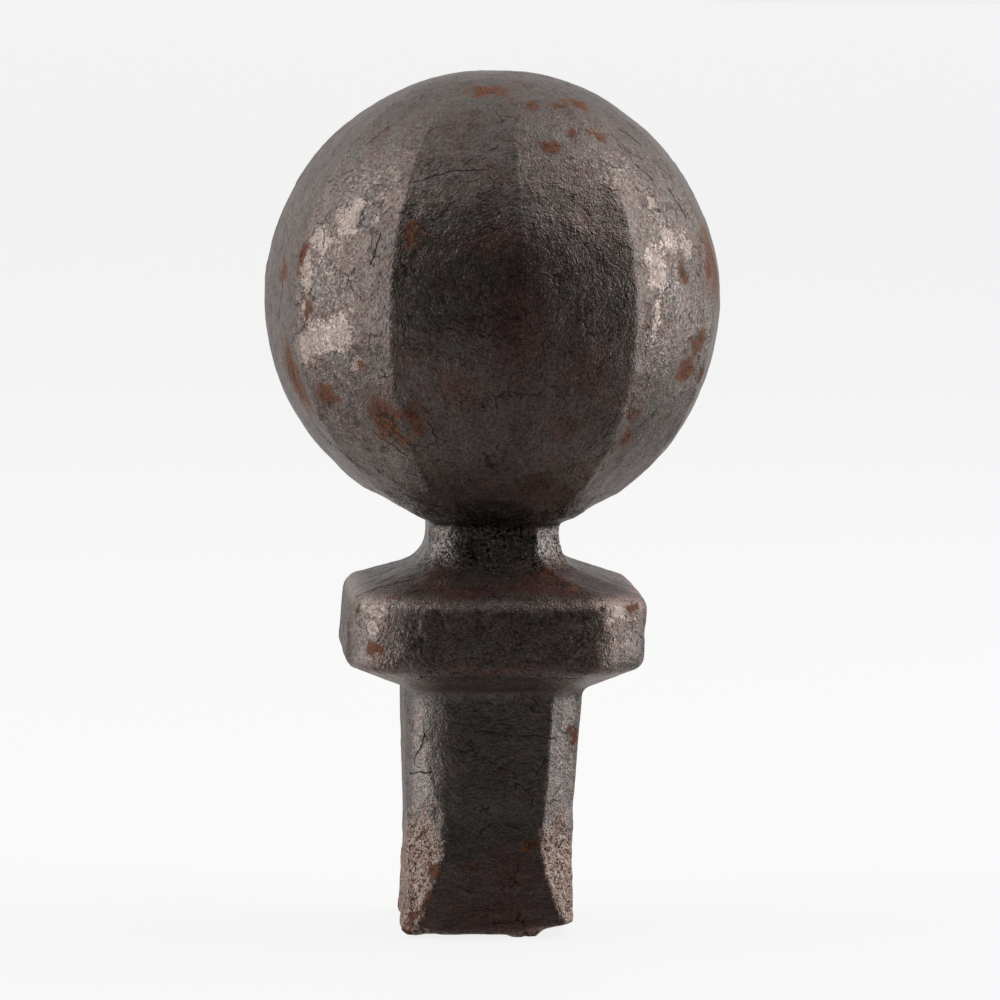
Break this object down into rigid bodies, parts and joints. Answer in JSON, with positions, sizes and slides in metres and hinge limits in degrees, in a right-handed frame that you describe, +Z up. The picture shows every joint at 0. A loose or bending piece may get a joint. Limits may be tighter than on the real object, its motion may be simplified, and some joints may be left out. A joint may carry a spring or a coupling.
{
  "type": "forged post cap",
  "caption": "Hand-forged steel ball finial with soft hammered facets, on a short neck, a chamfered square collar and a square shank with a sheared end.",
  "frame": {"origin": "on the axis of the ball, at the level of the shank's sheared end", "axes": "+Z up the axis from the shank to the crown of the ball; -Y is the shank's front face; +X completes the frame"},
  "size_m": [0.0798, 0.08, 0.15],
  "materials": {
    "forged_steel": "dark grey-brown mill scale from forging, finely granular, with bright flaked patches and orange rust spots"
  },
  "bodies": {
    "root": {"forged_post_cap": "forged_steel"}
  },
  "joints": []
}
